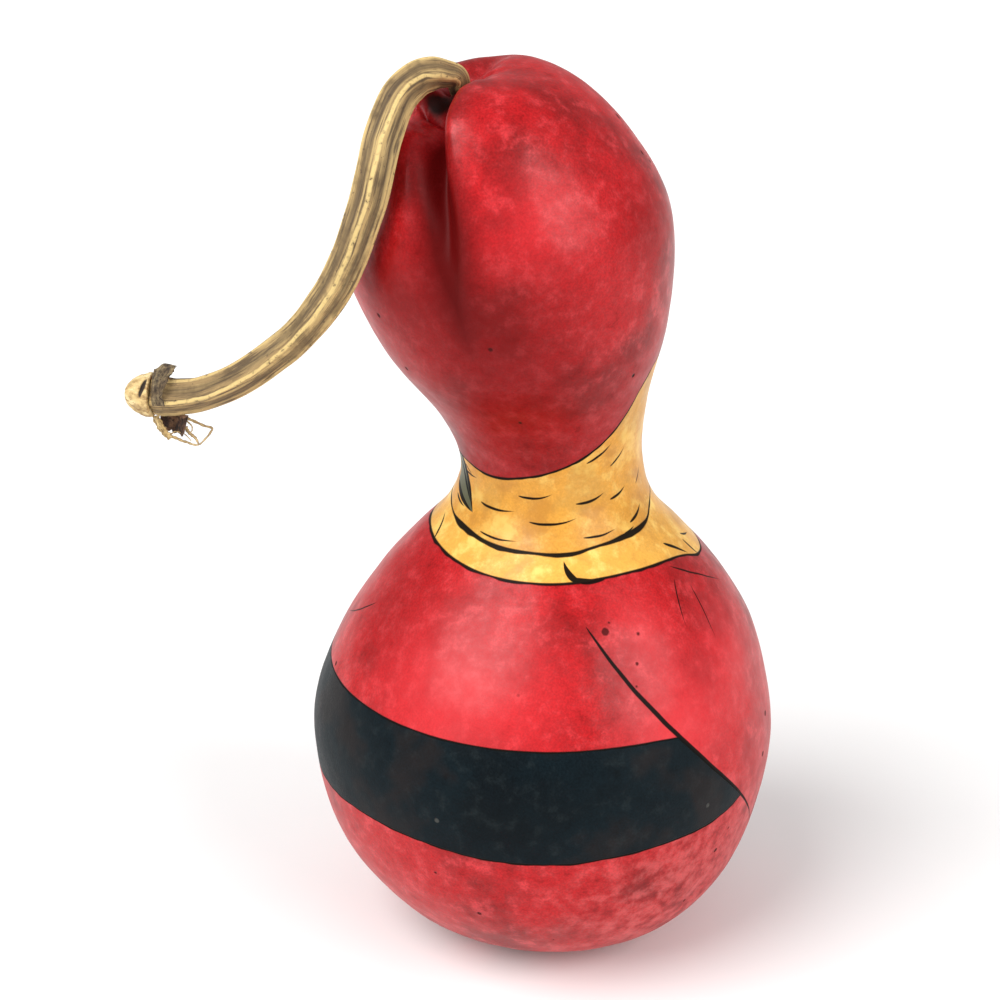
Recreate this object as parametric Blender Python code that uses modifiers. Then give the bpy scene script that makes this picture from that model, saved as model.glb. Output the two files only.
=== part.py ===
"""Dried, dyed bottle gourd with its stem and the torn end of the vine.

Metres, +Z up. The origin is the centre of the flat foot that the gourd
stands on, and -Y is the front. The fruit is a turned profile whose points
are moved onto a leaning spine, then pressed in along its creases.
"""
import math

import bmesh
import bpy
from mathutils import Vector

MM = 0.001

# Fruit
FOOT_RADIUS = 18.0 * MM
BELLY_RADIUS = 60.5 * MM
BELLY_HEIGHT = 57.0 * MM
NECK_RADIUS = 23.2 * MM
NECK_HEIGHT = 129.7 * MM
HEAD_RADIUS = 40.5 * MM
HEAD_HEIGHT = 188.0 * MM
CROWN_RADIUS = 12.0 * MM
CROWN_HEIGHT = 227.6 * MM
SOCKET_RADIUS = 3.6 * MM
SOCKET_FLOOR = 219.5 * MM
ROUND_STEPS = 64

# Lean of the head, measured at the crown
LEAN_START = 125.0 * MM
SIDE_LEAN = 19.0 * MM
FRONT_LEAN = 7.0 * MM
NECK_SHIFT = 2.0 * MM
CROWN_SHIFT = 3.0 * MM
RING_TILT = 0.65
BASE_SLANT = 1.2 * MM

# Creases and soft dents, each by the direction that it faces
CREASES = [
    {"azimuth": -110.0, "depth": 8.5 * MM, "left": 6.0 * MM, "right": 3.2 * MM,
     "fade": (170.0 * MM, 226.0 * MM), "reach": (4.0 * MM, 90.0 * MM)},
    {"azimuth": 58.0, "depth": 3.2 * MM, "left": 4.5 * MM, "right": 3.0 * MM,
     "fade": (205.0 * MM, 226.0 * MM), "reach": (4.0 * MM, 22.0 * MM)},
    {"azimuth": -168.0, "depth": 6.0 * MM, "left": 26.0 * MM, "right": 17.0 * MM,
     "fade": (184.0 * MM, 214.0 * MM), "reach": (8.0 * MM, 90.0 * MM)},
]
HOLLOW = {"azimuth": -130.0, "outward": 9.5 * MM, "radius": 4.2 * MM, "depth": 5.5 * MM}

# Stem and the vine's torn end
STEM_ROOT = SOCKET_FLOOR + 0.8 * MM
STEM_END = Vector((-95.2 * MM, -17.0 * MM, 151.4 * MM))
STEM_RIBS = 5
STEM_RIB_HEIGHT = 0.07
STEM_SIDES = 20
NODE_BASE_RADIUS = 5.5 * MM
NODE_LENGTH = 7.0 * MM
GAP = 0.3 * MM
FIBRE_RADIUS = 0.3 * MM


def ease(value):
    """Smooth step, 0 at 0 and 1 at 1."""
    t = min(max(value, 0.0), 1.0)
    return t * t * (3.0 - 2.0 * t)


def smooth_points(points, per_span):
    """Points read from the smooth curve that passes through the given ones."""
    knots = [Vector(p) for p in [points[0], *points, points[-1]]]
    out = []
    for i in range(1, len(knots) - 2):
        before, start, end, after = knots[i - 1:i + 3]
        for k in range(per_span):
            t = k / per_span
            out.append(0.5 * (2 * start + (end - before) * t
                              + (2 * before - 5 * start + 4 * end - after) * t ** 2
                              + (3 * start - before - 3 * end + after) * t ** 3))
    return out + [knots[-1]]


def lean(height):
    """How far the head has leaned at one height: upright below the neck."""
    rise = max(0.0, (height - LEAN_START) / (CROWN_HEIGHT - LEAN_START))
    return Vector((-SIDE_LEAN * rise ** 1.4, -FRONT_LEAN * rise ** 1.6, height))


def spine(height):
    """The middle of the fruit at one height."""
    shift = NECK_SHIFT * ease((height - 60.0 * MM) / (40.0 * MM))
    shift -= NECK_SHIFT * ease((height - 135.0 * MM) / (30.0 * MM))
    shift -= CROWN_SHIFT * ease((height - 198.0 * MM) / (32.0 * MM))
    return lean(height) + Vector((shift, 0.0, 0.0))


def on_spine(point):
    """Where a point of the upright fruit goes: its ring follows the spine and tilts with it."""
    rise = lean(point.z + MM) - lean(point.z - MM)
    along = Vector((RING_TILT * rise.x, RING_TILT * rise.y, rise.z)).normalized()
    across = Vector((1.0, 0.0, -along.x / along.z)).normalized()
    deep = along.cross(across)
    return spine(point.z) + across * point.x + deep * point.y


def pressed_in(point):
    """How far the creases and dents push the surface in at a point of the upright fruit."""
    depth = 0.0
    radius = math.hypot(point.x, point.y)
    azimuth = math.atan2(point.y, point.x)
    for crease in CREASES:
        turn = azimuth - math.radians(crease["azimuth"])
        aside = radius * math.sin(turn)
        outward = radius * math.cos(turn)
        if outward <= 0.0:
            continue
        width = crease["right"] if aside > 0.0 else crease["left"]
        low, high = crease["fade"]
        start, stop = crease["reach"]
        depth += (crease["depth"] * math.exp(-(aside / width) ** 2)
                  * ease((point.z - low) / (high - low)) ** 1.3
                  * ease(outward / start - 1.0)
                  * ease((stop - outward) / (0.5 * stop)))
    turn = azimuth - math.radians(HOLLOW["azimuth"])
    off = math.hypot(radius * math.sin(turn), radius * math.cos(turn) - HOLLOW["outward"])
    if point.z > HEAD_HEIGHT:
        depth += HOLLOW["depth"] * math.exp(-(off / HOLLOW["radius"]) ** 4)
    lobes = 0.5 * MM * math.cos(3.0 * azimuth + 1.0) * ease(point.z / (25.0 * MM) - 0.2)
    low_side = ease(point.z / (4.0 * MM)) * (1.0 - ease((point.z - 8.0 * MM) / (32.0 * MM)))
    slant = BASE_SLANT * math.cos(azimuth - math.pi) * low_side
    return depth + slant + lobes * ease(radius / (15.0 * MM))


def paint(name, colour, roughness):
    """A plain Principled material."""
    material = bpy.data.materials.new(name)
    material.use_nodes = True
    shader = material.node_tree.nodes["Principled BSDF"]
    shader.inputs["Base Color"].default_value = (*colour, 1.0)
    shader.inputs["Roughness"].default_value = roughness
    shader.inputs["Metallic"].default_value = 0.0
    return material


def add_object(name, data, collection, material=None):
    """Links new data as an object and gives it its material."""
    thing = bpy.data.objects.new(name, data)
    collection.objects.link(thing)
    if material:
        data.materials.append(material)
    return thing


def frozen(thing, collection):
    """Replaces an object by the plain mesh that its modifiers or its curve make."""
    depsgraph = bpy.context.evaluated_depsgraph_get()
    mesh = bpy.data.meshes.new_from_object(thing.evaluated_get(depsgraph))
    name, materials = thing.name, list(thing.data.materials)
    bpy.data.objects.remove(thing)
    shape = bmesh.new()
    shape.from_mesh(mesh)
    bmesh.ops.remove_doubles(shape, verts=shape.verts, dist=0.00001)
    bmesh.ops.recalc_face_normals(shape, faces=shape.faces)
    shape.to_mesh(mesh)
    shape.free()
    mesh.materials.clear()
    result = add_object(name, mesh, collection)
    for material in materials:
        mesh.materials.append(material)
    mesh.shade_smooth()
    return result


def turned(name, profile, steps, collection, material):
    """A solid of revolution about Z from (radius, height) points, top to bottom."""
    mesh = bpy.data.meshes.new(name)
    shape = bmesh.new()
    corners = [shape.verts.new((radius, 0.0, height)) for radius, height in profile]
    for first, second in zip(corners, corners[1:]):
        shape.edges.new((first, second))
    shape.to_mesh(mesh)
    shape.free()
    thing = add_object(name, mesh, collection, material)
    screw = thing.modifiers.new("Turn", "SCREW")
    screw.steps = steps
    screw.render_steps = steps
    screw.use_merge_vertices = True
    screw.merge_threshold = 0.00001
    screw.use_smooth_shade = True
    return frozen(thing, collection)


def torn_path(offsets):
    """A smooth path through points given in millimetres from the stem's end."""
    return smooth_points([STEM_END + Vector(offset) * MM for offset in offsets], 4)


def strand(name, points, collection, material, radius, half_width=0.0, turned_by=0.0):
    """A fine rod, or a flat ribbon where it has a half width, along a path."""
    data = bpy.data.curves.new(name, "CURVE")
    data.dimensions = "3D"
    data.bevel_depth = radius
    data.bevel_resolution = 1
    data.extrude = half_width
    data.use_fill_caps = True
    spline = data.splines.new("POLY")
    spline.points.add(len(points) - 1)
    for corner, point in zip(spline.points, points):
        corner.co = (*point, 1.0)
        corner.tilt = math.radians(turned_by)
    thing = add_object(name, data, collection, material)
    return frozen(thing, collection)


def fruit_side():
    """The fruit's outer side as (radius, height), from the stem's socket down to the foot."""
    knots = [
        (SOCKET_RADIUS, SOCKET_FLOOR + 0.6 * MM),
        (SOCKET_RADIUS + 0.3 * MM, SOCKET_FLOOR + 3.4 * MM),
        (SOCKET_RADIUS + 1.8 * MM, CROWN_HEIGHT - 2.8 * MM),
        (CROWN_RADIUS - 3.2 * MM, CROWN_HEIGHT - 0.9 * MM),
        (CROWN_RADIUS + 2.0 * MM, CROWN_HEIGHT - 0.6 * MM),
        (0.55 * HEAD_RADIUS, CROWN_HEIGHT - 3.0 * MM),
        (0.73 * HEAD_RADIUS, CROWN_HEIGHT - 9.4 * MM),
        (0.88 * HEAD_RADIUS, HEAD_HEIGHT + 18.6 * MM),
        (HEAD_RADIUS, HEAD_HEIGHT),
        (0.88 * HEAD_RADIUS, HEAD_HEIGHT - 24.0 * MM),
        (1.14 * NECK_RADIUS, NECK_HEIGHT + 14.7 * MM),
        (NECK_RADIUS, NECK_HEIGHT),
        (1.15 * NECK_RADIUS, NECK_HEIGHT - 11.7 * MM),
        (0.59 * BELLY_RADIUS, NECK_HEIGHT - 21.7 * MM),
        (0.757 * BELLY_RADIUS, BELLY_HEIGHT + 39.0 * MM),
        (0.908 * BELLY_RADIUS, BELLY_HEIGHT + 23.0 * MM),
        (BELLY_RADIUS, BELLY_HEIGHT),
        (0.915 * BELLY_RADIUS, 30.0 * MM),
        (0.718 * BELLY_RADIUS, 12.0 * MM),
        (FOOT_RADIUS + 10.5 * MM, 2.8 * MM),
        (FOOT_RADIUS, 0.0),
    ]
    side = smooth_points([(r, z, 0.0) for r, z in knots], 3)
    floor = [(0.0, SOCKET_FLOOR), (SOCKET_RADIUS - 0.8 * MM, SOCKET_FLOOR)]
    return floor + [(p.x, p.y) for p in side] + [(0.5 * FOOT_RADIUS, 0.0), (0.0, 0.0)]


def make_gourd(collection):
    """The dried fruit, one hard shell, dyed red."""
    material = paint("gourd_dye", (0.52, 0.015, 0.030), 0.34)
    gourd = turned("gourd", fruit_side(), ROUND_STEPS, collection, material)
    normals = [vertex.normal.copy() for vertex in gourd.data.vertices]
    for vertex, normal in zip(gourd.data.vertices, normals):
        vertex.co = on_spine(vertex.co - normal * pressed_in(vertex.co))
    gourd.data.update()
    return gourd


def stem_path():
    """The stem's middle line with its radii, from its root over the left shoulder to its end."""
    root = spine(STEM_ROOT)
    rise = spine(STEM_ROOT + 3.6 * MM)
    end = STEM_END
    knots = [
        (*root, 2.6 * MM), (*rise, 2.6 * MM),
        (-0.0218, -0.0092, 0.2270, 2.8 * MM), (-0.0245, -0.0115, 0.2281, 3.3 * MM),
        (-0.0277, -0.0142, 0.2285, 3.9 * MM), (-0.0312, -0.0175, 0.2275, 4.1 * MM),
        (-0.0347, -0.0229, 0.2243, 4.2 * MM), (-0.0377, -0.0288, 0.2174, 4.3 * MM),
        (-0.0392, -0.0320, 0.2112, 4.3 * MM), (-0.0409, -0.0326, 0.2042, 4.3 * MM),
        (-0.0431, -0.0318, 0.1976, 4.2 * MM), (-0.0464, -0.0300, 0.1885, 4.2 * MM),
        (-0.0507, -0.0280, 0.1800, 4.2 * MM), (-0.0580, -0.0260, 0.1702, 4.0 * MM),
        (-0.0660, -0.0240, 0.1629, 4.0 * MM), (-0.0743, -0.0218, 0.1570, 4.0 * MM),
        (-0.0827, -0.0196, 0.1530, 4.1 * MM), (-0.0894, -0.0180, 0.1515, 4.4 * MM),
        (end.x + 2.6 * MM, end.y - 0.4 * MM, end.z, 4.7 * MM), (*end, 4.9 * MM),
    ]
    middle = smooth_points([knot[:3] for knot in knots], 4)
    radii = smooth_points([(knot[3], 0.0, 0.0) for knot in knots], 4)
    return middle, [radius.x for radius in radii]


def make_stem(collection, guides):
    """The dried stalk: a ribbed rod swept along its path."""
    section = bpy.data.curves.new("stem_section", "CURVE")
    outline = section.splines.new("POLY")
    outline.points.add(STEM_SIDES - 1)
    outline.use_cyclic_u = True
    for k, corner in enumerate(outline.points):
        turn = 2.0 * math.pi * k / STEM_SIDES
        out = 1.0 + STEM_RIB_HEIGHT * math.cos(STEM_RIBS * turn)
        corner.co = (out * math.cos(turn) * MM, out * math.sin(turn) * MM, 0.0, 1.0)
    guide = add_object("stem_section", section, guides)
    guide.hide_render = True
    guide.display_type = "WIRE"
    data = bpy.data.curves.new("stem", "CURVE")
    data.dimensions = "3D"
    data.bevel_mode = "OBJECT"
    data.bevel_object = guide
    data.use_fill_caps = True
    middle, radii = stem_path()
    spline = data.splines.new("POLY")
    spline.points.add(len(middle) - 1)
    for corner, point, radius in zip(spline.points, middle, radii):
        corner.co = (*point, 1.0)
        corner.radius = radius / MM
    stem = add_object("stem", data, collection, paint("stem_husk", (0.42, 0.28, 0.11), 0.72))
    return frozen(stem, collection)


def make_vine_node(collection):
    """The blunt woody knot of vine left on the stem's end, turned and laid along it."""
    knots = [
        (0.0, NODE_LENGTH), (1.6 * MM, NODE_LENGTH - 0.3 * MM),
        (2.7 * MM, NODE_LENGTH - 1.4 * MM), (3.8 * MM, NODE_LENGTH - 3.2 * MM),
        (4.9 * MM, NODE_LENGTH - 5.0 * MM), (NODE_BASE_RADIUS, 1.0 * MM),
        (NODE_BASE_RADIUS, 0.3 * MM), (NODE_BASE_RADIUS - 0.5 * MM, 0.0),
    ]
    side = [(p.x, p.y) for p in smooth_points([(r, z, 0.0) for r, z in knots], 2)]
    profile = side + [(2.5 * MM, 0.0), (0.0, 0.0)]
    node = turned("vine_node", profile, 28, collection, paint("vine_wood", (0.55, 0.38, 0.15), 0.7))
    middle, _ = stem_path()
    along = (middle[-1] - middle[-2]).normalized()
    node.location = middle[-1] + along * GAP
    node.rotation_mode = "QUATERNION"
    node.rotation_quaternion = along.to_track_quat("Z", "Y")
    return node


def make_bract_flap(collection):
    """A papery scale that wraps the top of the stem beside the knot and flares to a peak."""
    length, turns, rows = 6.2 * MM, 14, 6
    first, last = math.radians(-35.0), math.radians(150.0)
    middle, radii = stem_path()
    back = (middle[-9] - middle[-1]).normalized()
    mesh = bpy.data.meshes.new("bract_flap")
    shape = bmesh.new()
    bmesh.ops.create_grid(shape, x_segments=rows, y_segments=turns, size=0.5)
    for vertex in shape.verts:
        s = vertex.co.x + 0.5
        t = vertex.co.y + 0.5
        angle = first + (last - first) * t
        flare = ease(1.0 - abs(t - 0.60) / 0.42)
        along = 0.4 * MM + s * length * (0.45 + 0.55 * flare)
        out = radii[-1] + 0.95 * MM + (0.4 + 1.6 * ease(2.0 * s)) * flare * MM
        anchor = middle[-1] + back * along
        vertex.co = anchor + Vector((0.0, -out * math.cos(angle), out * math.sin(angle)))
    bmesh.ops.recalc_face_normals(shape, faces=shape.faces)
    shape.to_mesh(mesh)
    shape.free()
    flap = add_object("bract_flap", mesh, collection, paint("bract_paper", (0.16, 0.10, 0.05), 0.85))
    skin = flap.modifiers.new("Paper", "SOLIDIFY")
    skin.thickness = 0.55 * MM
    skin.offset = 0.0
    return frozen(flap, collection)


def make_torn_pieces(collection):
    """What hangs below the knot: a strip of bark, a curled husk and two loose fibres."""
    bark = paint("torn_bark_skin", (0.45, 0.30, 0.12), 0.8)
    husk = paint("husk_skin", (0.20, 0.09, 0.06), 0.8)
    fibre = paint("fibre_straw", (0.50, 0.36, 0.17), 0.75)
    strip = torn_path([(0.4, -1.1, -6.1), (0.9, -1.5, -7.0), (1.9, -1.9, -8.6), (3.5, -2.1, -10.5)])
    strand("bark_strip", strip, collection, bark, 0.28 * MM, 1.1 * MM, 62.0)
    curl = torn_path([(7.2, -1.4, -5.3), (8.0, -1.7, -6.1), (8.0, -1.9, -7.4),
                      (6.8, -1.9, -8.2), (5.5, -1.7, -8.6)])
    strand("husk_curl", curl, collection, husk, 0.30 * MM, 1.5 * MM, 8.0)
    bent = torn_path([(9.4, -1.7, -6.1), (11.4, -2.0, -7.0), (13.9, -2.1, -7.9),
                      (12.6, -2.0, -9.9), (11.0, -1.9, -11.9)])
    strand("fibre_bent", bent, collection, fibre, FIBRE_RADIUS)
    loop = torn_path([(4.3, -2.0, -10.1), (7.1, -2.2, -11.3), (9.6, -2.2, -12.0),
                      (10.2, -2.1, -11.5), (9.6, -2.0, -9.7), (8.0, -1.8, -8.9)])
    strand("fibre_loop", loop, collection, fibre, FIBRE_RADIUS)


def build():
    for thing in list(bpy.data.objects):
        bpy.data.objects.remove(thing)
    parts = bpy.data.collections.new("dried_bottle_gourd")
    guides = bpy.data.collections.new("guides")
    bpy.context.scene.collection.children.link(parts)
    bpy.context.scene.collection.children.link(guides)
    make_gourd(parts)
    make_stem(parts, guides)
    make_vine_node(parts)
    make_bract_flap(parts)
    make_torn_pieces(parts)


build()
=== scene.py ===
import math

import bmesh
import bpy
import numpy as np
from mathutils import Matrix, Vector, noise


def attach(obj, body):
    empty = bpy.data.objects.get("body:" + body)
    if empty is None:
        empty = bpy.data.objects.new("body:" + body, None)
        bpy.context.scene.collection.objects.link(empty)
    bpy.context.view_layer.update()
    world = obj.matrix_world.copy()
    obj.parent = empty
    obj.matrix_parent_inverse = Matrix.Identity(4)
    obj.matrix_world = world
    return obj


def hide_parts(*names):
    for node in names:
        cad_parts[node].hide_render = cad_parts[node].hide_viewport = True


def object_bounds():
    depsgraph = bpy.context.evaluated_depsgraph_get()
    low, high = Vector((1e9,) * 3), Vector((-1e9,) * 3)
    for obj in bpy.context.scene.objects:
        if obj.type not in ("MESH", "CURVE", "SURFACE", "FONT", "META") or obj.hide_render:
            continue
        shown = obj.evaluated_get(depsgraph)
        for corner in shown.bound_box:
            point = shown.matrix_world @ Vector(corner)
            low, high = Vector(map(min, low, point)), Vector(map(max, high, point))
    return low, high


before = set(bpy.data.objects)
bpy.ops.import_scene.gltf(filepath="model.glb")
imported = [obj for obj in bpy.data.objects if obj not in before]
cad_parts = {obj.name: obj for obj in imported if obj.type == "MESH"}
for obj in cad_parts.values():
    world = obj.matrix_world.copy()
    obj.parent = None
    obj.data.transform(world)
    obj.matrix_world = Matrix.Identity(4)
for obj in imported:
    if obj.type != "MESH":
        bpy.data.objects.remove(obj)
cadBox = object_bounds()
mm = 0.001
print("frame loaded, CAD box", [round(v / mm, 1) for corner in cadBox for v in corner])


# camera, light and floor

studio = {
    "target": (-11.5, 0.0, 117.6),  # mm, what the camera looks at
    "distance": 552.7,
    "elevation": 21.0,
    "fieldOfView": 26.0,
    "ambient": 0.46,
    "lights": [  # name, direction towards the light, strength, width in degrees
        ("keySoftbox", (-0.62, -0.44, 0.78), 2.75, 46.0),
        ("rightSoftbox", (0.66, -0.54, 0.46), 1.70, 44.0),
    ],
    "floorTone": (0.945, 0.94, 0.935),
}


def setStudio():
    scene = bpy.context.scene
    scene.view_settings.view_transform = "Standard"
    tilt = math.radians(studio["elevation"])
    target = Vector(studio["target"]) * mm
    back = Vector((0.0, -math.cos(tilt), math.sin(tilt)))
    lens = bpy.data.cameras.new("camera")
    lens.sensor_fit = "HORIZONTAL"
    lens.angle = math.radians(studio["fieldOfView"])
    lens.clip_start, lens.clip_end = 0.01, 60.0
    camera = bpy.data.objects.new("camera", lens)
    camera.location = target + back * studio["distance"] * mm
    camera.rotation_euler = (-back).to_track_quat("-Z", "Y").to_euler()
    scene.collection.objects.link(camera)
    scene.camera = camera
    for name, towards, strength, width in studio["lights"]:
        data = bpy.data.lights.new(name, "SUN")
        data.energy, data.angle = strength, math.radians(width)
        lamp = bpy.data.objects.new(name, data)
        lamp.rotation_euler = Vector(towards).to_track_quat("Z", "Y").to_euler()
        scene.collection.objects.link(lamp)
    world = bpy.data.worlds.new("paleRoom")
    world.use_nodes = True
    sky = world.node_tree.nodes["Background"]
    sky.inputs["Color"].default_value = (1.0, 1.0, 1.0, 1.0)
    sky.inputs["Strength"].default_value = studio["ambient"]
    scene.world = world


# small helpers for meshes

def ease(value):
    t = np.clip(value, 0.0, 1.0)
    return t * t * (3.0 - 2.0 * t)


def smoothPoints(points, perSpan):  # points on the smooth curve through every given one
    knots = np.array([points[0], *points, points[-1]], float)
    t = (np.arange(perSpan) / perSpan)[:, None]
    spans = [0.5 * (2 * b + (c - a) * t + (2 * a - 5 * b + 4 * c - d) * t ** 2
                    + (3 * b - a - 3 * c + d) * t ** 3)
             for a, b, c, d in zip(knots, knots[1:], knots[2:], knots[3:])]
    return np.vstack(spans + [knots[-1:]])


def evenlyAlong(points, count):  # the same line with its points the same distance apart
    steps = np.linalg.norm(np.diff(points[:, :3], axis=0), axis=1)
    run = np.concatenate([[0.0], np.cumsum(steps)])
    at = np.linspace(0.0, run[-1], count)
    return np.column_stack([np.interp(at, run, column) for column in points.T])


def rough(places, size, seed=0.0):  # smooth random values from about -1 to 1
    shift = Vector((seed * 7.1, seed * 3.3, seed * 5.7))
    return np.array([noise.noise(Vector(p) / size + shift) for p in places.reshape(-1, 3)]
                    ).reshape(places.shape[:-1])


def sheetMesh(name, grid, maps, material, caps=(True, True)):
    # a mesh over rings of points, with a face over the first and the last ring if asked
    rows, columns = grid.shape[:2]
    points = grid.reshape(-1, 3)
    r, c = np.meshgrid(np.arange(rows - 1), np.arange(columns), indexing="ij")
    nextColumn = (c + 1) % columns
    quads = np.stack([r * columns + c, (r + 1) * columns + c, (r + 1) * columns + nextColumn,
                      r * columns + nextColumn], -1).reshape(-1, 4)
    faces = quads.tolist()
    if caps[0]:
        faces.append(list(range(columns)))
    if caps[1]:
        faces.append(list(range((rows - 1) * columns, rows * columns))[::-1])
    mesh = bpy.data.meshes.new(name)
    mesh.from_pydata(points.tolist(), [], faces)
    for label, (u, v) in maps.items():
        layer = mesh.uv_layers.new(name=label)
        corners = np.zeros((len(mesh.loops), 2))
        u0, u1 = u[c], u[c + 1]
        v0, v1 = v[r], v[r + 1]
        spread = np.stack([np.stack([u0, v0], -1), np.stack([u0, v1], -1),
                           np.stack([u1, v1], -1), np.stack([u1, v0], -1)], 2)
        corners[:quads.size] = spread.reshape(-1, 2)
        layer.data.foreach_set("uv", corners.ravel())
    mesh.materials.append(material)
    mesh.shade_smooth()
    if sum(caps) == 2:  # closed: every face looks outward
        shape = bmesh.new()
        shape.from_mesh(mesh)
        bmesh.ops.recalc_face_normals(shape, faces=shape.faces)
        shape.to_mesh(mesh)
        shape.free()
    piece = bpy.data.objects.new(name, mesh)
    bpy.context.scene.collection.objects.link(piece)
    return piece


def place(piece, node, slotName):
    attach(piece, "root")
    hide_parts(node)


# small helpers for materials

def newNode(tree, kind, inputs=None, **settings):
    node = tree.nodes.new(kind)
    for key, value in settings.items():
        setattr(node, key, value)
    for key, value in (inputs or {}).items():
        if isinstance(value, bpy.types.NodeSocket):
            tree.links.new(value, node.inputs[key])
        else:
            node.inputs[key].default_value = value
    return node


def calc(tree, operation, *values, clamp=False):
    inputs = dict(enumerate(values))
    return newNode(tree, "ShaderNodeMath", inputs, operation=operation, use_clamp=clamp).outputs[0]


def times(tree, *values):
    return calc(tree, "MULTIPLY", *values)


def larger(tree, *values):
    return calc(tree, "MAXIMUM", *values)


def opposite(tree, value):  # the mask turned over
    return calc(tree, "SUBTRACT", 1.0, value)


def lessened(tree, value, mask, amount):  # the value, lower by the amount where the mask is 1
    return times(tree, value, calc(tree, "MULTIPLY_ADD", mask, -amount, 1.0))


def ramp(tree, value, low, high, start=0.0, end=1.0):
    inputs = {"Value": value, "From Min": low, "From Max": high, "To Min": start, "To Max": end}
    return newNode(tree, "ShaderNodeMapRange", inputs, interpolation_type="SMOOTHSTEP").outputs[0]


def blend(tree, factor, first, second, mode="MIX"):
    node = newNode(tree, "ShaderNodeMix", data_type="RGBA", blend_type=mode)
    for index, value in ((0, factor), (6, first), (7, second)):
        if isinstance(value, bpy.types.NodeSocket):
            tree.links.new(value, node.inputs[index])
        else:
            node.inputs[index].default_value = (*value, 1.0) if index else value
    return node.outputs[2]


def clouds(tree, vector, size, detail=4.0, roughness=0.55):  # size in metres
    inputs = {"Vector": vector, "Scale": 1.0 / size, "Detail": detail, "Roughness": roughness}
    return newNode(tree, "ShaderNodeTexNoise", inputs).outputs[0]


def newGroup(name, takes, gives):
    tree = bpy.data.node_groups.new(name, "ShaderNodeTree")
    for label, kind, value in takes:
        socket = tree.interface.new_socket(name=label, in_out="INPUT", socket_type=kind)
        socket.default_value = value
    for label, kind in gives:
        tree.interface.new_socket(name=label, in_out="OUTPUT", socket_type=kind)
    return tree, tree.nodes.new("NodeGroupInput").outputs, tree.nodes.new("NodeGroupOutput").inputs


def useGroup(tree, group, inputs):
    node = tree.nodes.new("ShaderNodeGroup")
    node.node_tree = group
    for key, value in inputs.items():
        if isinstance(value, bpy.types.NodeSocket):
            tree.links.new(value, node.inputs[key])
        else:
            node.inputs[key].default_value = value
    return node.outputs


def newMaterial(name):
    material = bpy.data.materials.new(name)
    material.use_nodes = True
    tree = material.node_tree
    return material, tree, tree.nodes["Principled BSDF"]


number, colour, vector = "NodeSocketFloat", "NodeSocketColor", "NodeSocketVector"


def makeInkStroke():  # one pen stroke with a swelling width that tapers to a hair
    tree, given, out = newGroup("inkStroke", [
        ("Place", vector, (0.0, 0.0, 0.0)), ("Along", vector, (1.0, 0.0, 0.0)),
        ("Across", vector, (0.0, 1.0, 0.0)), ("Along Start", number, 0.0),
        ("Across Start", number, 0.0), ("Bow", number, 0.0), ("Width", number, 0.5),
        ("Soft", number, 0.18), ("Ink", number, 0.0)], [("Ink", number), ("Side", number)])
    dot = [newNode(tree, "ShaderNodeVectorMath", {0: given["Place"], 1: given[key]},
                   operation="DOT_PRODUCT").outputs["Value"] for key in ("Along", "Across")]
    t = calc(tree, "SUBTRACT", dot[0], given["Along Start"])
    side = calc(tree, "SUBTRACT", dot[1], given["Across Start"])
    left = calc(tree, "SUBTRACT", 1.0, t, clamp=True)
    inside = times(tree, t, left)
    side = calc(tree, "MULTIPLY_ADD", inside, given["Bow"], side)
    swell = calc(tree, "POWER", larger(tree, t, 0.0), 0.38)
    swell = times(tree, swell, calc(tree, "POWER", left, 0.75))
    half = times(tree, swell, given["Width"])
    gap = calc(tree, "SUBTRACT", half, calc(tree, "ABSOLUTE", side))
    mask = calc(tree, "DIVIDE", gap, given["Soft"], clamp=True)
    tree.links.new(larger(tree, mask, given["Ink"]), out["Ink"])
    tree.links.new(side, out["Side"])
    return tree


def makeInkEdge():  # an uneven pen line along a painted edge, and what lies above that edge
    tree, given, out = newGroup("inkEdge", [
        ("Height", number, 0.0), ("Edge", number, 0.0), ("Half Width", number, 0.3),
        ("Uneven", number, 0.5)], [("Above", number), ("Line", number)])
    over = calc(tree, "SUBTRACT", given["Height"], given["Edge"])
    above = ramp(tree, over, -0.12, 0.12)
    swell = times(tree, given["Half Width"], calc(tree, "ADD", given["Uneven"], 0.5))
    gap = calc(tree, "SUBTRACT", swell, calc(tree, "ABSOLUTE", over))
    line = calc(tree, "DIVIDE", gap, 0.2, clamp=True)
    tree.links.new(above, out["Above"])
    tree.links.new(line, out["Line"])
    return tree


def makeDyeTone():  # a dyed skin: deep, middle and bright tones by cloud, speckle and grain
    tree, given, out = newGroup("dyeTone", [
        ("Deep", colour, (0.2, 0.0, 0.0, 1.0)), ("Middle", colour, (0.5, 0.0, 0.0, 1.0)),
        ("Bright", colour, (0.8, 0.1, 0.1, 1.0)), ("Cloud", number, 0.5), ("Speckle", number, 0.5),
        ("Grain", number, 0.5), ("Deep Amount", number, 0.6), ("Bright Amount", number, 0.5)],
        [("Color", colour)])
    deep = times(tree, ramp(tree, given["Cloud"], 0.56, 0.34), given["Deep Amount"])
    tone = blend(tree, deep, given["Middle"], given["Deep"])
    bright = times(tree, ramp(tree, given["Speckle"], 0.50, 0.70), given["Bright Amount"])
    tone = blend(tree, bright, tone, given["Bright"])
    dusk = times(tree, ramp(tree, given["Speckle"], 0.42, 0.28), given["Deep Amount"])
    tone = blend(tree, times(tree, dusk, 0.7), tone, given["Deep"])
    grainTone = ramp(tree, given["Grain"], 0.25, 0.75, 0.80, 1.18)
    grey = newNode(tree, "ShaderNodeCombineColor", {0: grainTone, 1: grainTone, 2: grainTone}).outputs[0]
    tree.links.new(blend(tree, 1.0, tone, grey, "MULTIPLY"), out["Color"])
    return tree


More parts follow.
